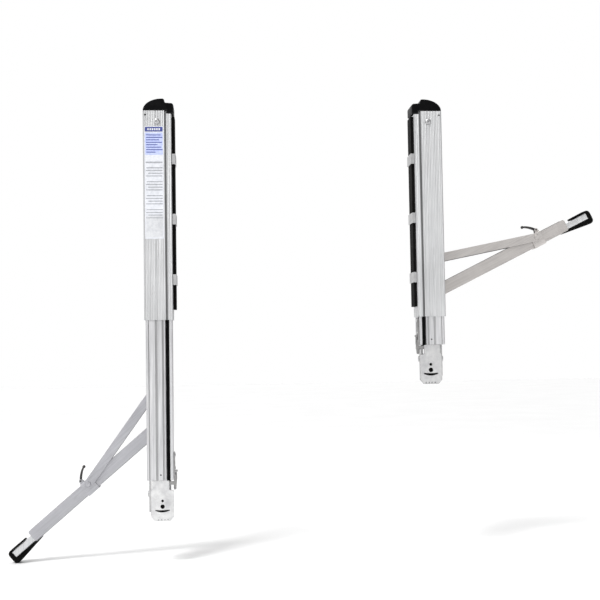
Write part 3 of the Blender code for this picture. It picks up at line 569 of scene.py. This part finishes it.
def add_rubber_foot(tag, side):
    """A pad wrapped round the tube's end, with a grooved sole."""
    space = ArmSpace(tag, side)
    top = 0.0035
    low = -0.0101
    tip = 0.3680
    points = [(0.3260, top), (tip - 0.0080, top), (tip - 0.0080, low), (0.3150, low), (0.3150, -0.0123)]
    points += [(0.3000, -0.0123), (0.3000, -0.0135)]
    groove_count = 7
    for index in range(groove_count):
        along = 0.3045 + 0.0066 * index
        sole = -0.0135 - 0.0061 * (along - 0.3000) / 0.0500
        after = -0.0135 - 0.0061 * (along + 0.0022 - 0.3000) / 0.0500
        points += [(along, sole), (along + 0.0004, sole + 0.0013), (along + 0.0018, after + 0.0013)]
        points += [(along + 0.0022, after)]
    points += [(0.3520, -0.0198), (0.3590, -0.0205), (0.3630, -0.0200), (0.3660, -0.0182), (0.3676, -0.0152)]
    points += [(tip, -0.0110), (tip, 0.0000), (0.3673, 0.0032), (0.3650, 0.0060), (0.3620, 0.0073)]
    points += [(0.3590, top + 0.0040), (0.3275, top + 0.0036), (0.3260, top + 0.0026)]
    bm = prism(points, -0.0092, 0.0092, space)
    finish_piece("rubber_foot_" + tag + "_detail", bm, LOOKS["black_rubber"], "black_rubber", "tube_" + tag,
                 ["rubber_foot_" + tag], 0.0003, 2)


def add_plate_rivets(tag, side):
    """Three domed rivets that hold the lock plate to the leg."""
    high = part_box("lock_plate_" + tag)[1]
    plate_face = side * 0.2326
    profile = [(0.0032, 0.0001, 0), (0.0031, 0.0005, 0), (0.0026, 0.0009, 0), (0.0016, 0.0012, 0),
               (0.0005, 0.0013, 0)]
    parts = []
    for z in (high.z - 0.0060, high.z - 0.0300, high.z - 0.0410):
        parts.append(lathe(profile, (plate_face, -0.0115, z), (-side, 0, 0), 28))
    finish_piece("lock_plate_rivets_" + tag, join(parts), LOOKS["bright_steel"], "bright_steel", "leg_" + tag)


def add_shoe_backing(tag, side):
    """A rubber pad behind the shoe's holes, slot and teeth."""
    low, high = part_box("shoe_" + tag)
    inner = min(abs(low.x), abs(high.x))
    thickness = 0.0024
    outline = rounded(inner + 0.0070, inner + 0.0360, low.z + 0.0004, low.z + 0.0410, 0.0006)
    face = low.y + 0.0032
    bm = prism(outline, face, face + thickness, lambda a, b, depth: (side * a, depth, b))
    finish_piece("shoe_backing_" + tag, bm, LOOKS["black_rubber"], "black_rubber", "shoe_" + tag, (), 0.0004)


def add_yoke_screw(tag, side):
    """The screw through the leg's lower end that holds the foot's fork."""
    leg_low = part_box("leg_" + tag)[0]
    profile = [(0.0006, 0.0009, 4), (0.0006, 0.0002, 4), (0.0008, 0.0, 0), (0.0011, 0.0001, 0),
               (0.00145, 0.0006, 0), (0.00145, 0.0040, 0)]
    bm = lathe(profile, (side * 0.2592, leg_low.y + 0.0002, leg_low.z + 0.0100), (0, 1, 0), 24)
    finish_piece("yoke_screw_" + tag, bm, LOOKS["dark_steel"], "dark_steel", "leg_" + tag)


for tag, side in SIDES:
    add_refined(tag)
    add_top_cap(tag, side)
    add_stop_bolt(tag)
    add_rubber_foot(tag, side)
    add_plate_rivets(tag, side)
    add_yoke_screw(tag, side)
    add_shoe_backing(tag, side)
add_label("left", -1)


# ---------------------------------------------------------------- floor, lights and camera

def add_floor(level):
    """A plain, pale, slightly uneven floor."""
    bm = bmesh.new()
    bmesh.ops.create_grid(bm, x_segments=8, y_segments=8, size=12.0)
    mesh = bpy.data.meshes.new("floor")
    bm.to_mesh(mesh)
    bm.free()
    made = Finish("floor_paint")
    made.colour(made.toned(made.noise(3.0, detail=3.0), ((0.30, 0.90), (0.70, 0.93))))
    made.roughness(made.toned(made.noise(9.0, detail=3.0), ((0.30, 0.62), (0.70, 0.72))))
    mesh.materials.append(made.made)
    floor = bpy.data.objects.new("floor", mesh)
    floor.location = (0, 0, level)
    SCENE.collection.objects.link(floor)


def add_light(name, place, target, size, power):
    data = bpy.data.lights.new(name, "AREA")
    data.shape = "RECTANGLE"
    data.size, data.size_y = size
    data.energy = power
    light = bpy.data.objects.new(name, data)
    light.location = place
    light.rotation_mode = "QUATERNION"
    light.rotation_quaternion = (Vector(target) - Vector(place)).to_track_quat("-Z", "Y")
    SCENE.collection.objects.link(light)


def add_sun(toward, power, spread):
    data = bpy.data.lights.new("sky", "SUN")
    data.energy = power
    data.angle = math.radians(spread)
    sun = bpy.data.objects.new("sky", data)
    sun.rotation_mode = "QUATERNION"
    sun.rotation_quaternion = Vector(toward).to_track_quat("-Z", "Y")
    SCENE.collection.objects.link(sun)


def add_world():
    """A white sweep to look at; it lights the object less from its right and from below."""
    world = bpy.data.worlds.new("studio")
    world.use_nodes = True
    nodes = world.node_tree.nodes
    links = world.node_tree.links
    background = nodes["Background"]
    place = nodes.new("ShaderNodeTexCoord")
    parts = nodes.new("ShaderNodeSeparateXYZ")
    links.new(place.outputs["Generated"], parts.inputs["Vector"])
    shift = nodes.new("ShaderNodeMath")
    shift.operation = "MULTIPLY_ADD"
    shift.inputs[1].default_value = 0.5
    shift.inputs[2].default_value = 0.5
    links.new(parts.outputs["X"], shift.inputs[0])
    across = ramp(nodes, ((0.0, 0.56), (0.30, 0.90), (0.52, 0.76), (0.72, 0.34), (1.0, 0.24)))
    links.new(shift.outputs["Value"], across.inputs["Fac"])
    rise = nodes.new("ShaderNodeMath")
    rise.operation = "MULTIPLY_ADD"
    rise.inputs[1].default_value = 0.5
    rise.inputs[2].default_value = 0.5
    links.new(parts.outputs["Z"], rise.inputs[0])
    upward = ramp(nodes, ((0.0, 0.20), (0.36, 0.36), (0.50, 0.90), (0.62, 1.0), (0.80, 1.0), (1.0, 1.25)))
    links.new(rise.outputs["Value"], upward.inputs["Fac"])
    glow = nodes.new("ShaderNodeMix")
    glow.data_type = "RGBA"
    glow.blend_type = "MULTIPLY"
    glow.inputs["Factor"].default_value = 1.0
    links.new(across.outputs["Color"], glow.inputs[6])
    links.new(upward.outputs["Color"], glow.inputs[7])
    path = nodes.new("ShaderNodeLightPath")
    seen = nodes.new("ShaderNodeMix")
    seen.data_type = "RGBA"
    seen.inputs[7].default_value = (1.0, 1.0, 1.0, 1.0)
    links.new(path.outputs["Is Camera Ray"], seen.inputs["Factor"])
    links.new(glow.outputs[2], seen.inputs[6])
    links.new(seen.outputs[2], background.inputs["Color"])
    background.inputs["Strength"].default_value = 1.0
    SCENE.world = world
    SCENE.view_settings.view_transform = "Standard"


def add_camera():
    """A long lens at the height of the housings' lower ends, 2 m in front."""
    yaw, pitch, roll = (math.radians(value) for value in (4.49, -3.0, -0.92))
    data = bpy.data.cameras.new("camera")
    data.lens = 62.65
    camera = bpy.data.objects.new("camera", data)
    view = Matrix.Rotation(roll, 3, "Y") @ Matrix.Rotation(pitch, 3, "X") @ Matrix.Rotation(yaw, 3, "Z")
    turned = view.transposed() @ Matrix.Rotation(math.radians(90), 3, "X")
    camera.matrix_world = Matrix.Translation((-0.1487, -2.0, -0.2605)) @ turned.to_4x4()
    SCENE.collection.objects.link(camera)
    SCENE.camera = camera


add_floor(CAD_BOX[0].z - 0.0005)
add_sun((0.42, 0.50, -1.0), 1.7, 14.0)
add_light("key", (-1.6, -1.9, 1.0), (0, 0, -0.2), (1.5, 1.5), 12.0)
add_light("fill", (1.9, -1.8, 0.2), (0, 0, -0.2), (1.6, 1.6), 5.0)
add_light("back", (0.3, 1.8, 1.2), (0, 0, -0.2), (1.6, 1.2), 10.0)
add_world()
add_camera()
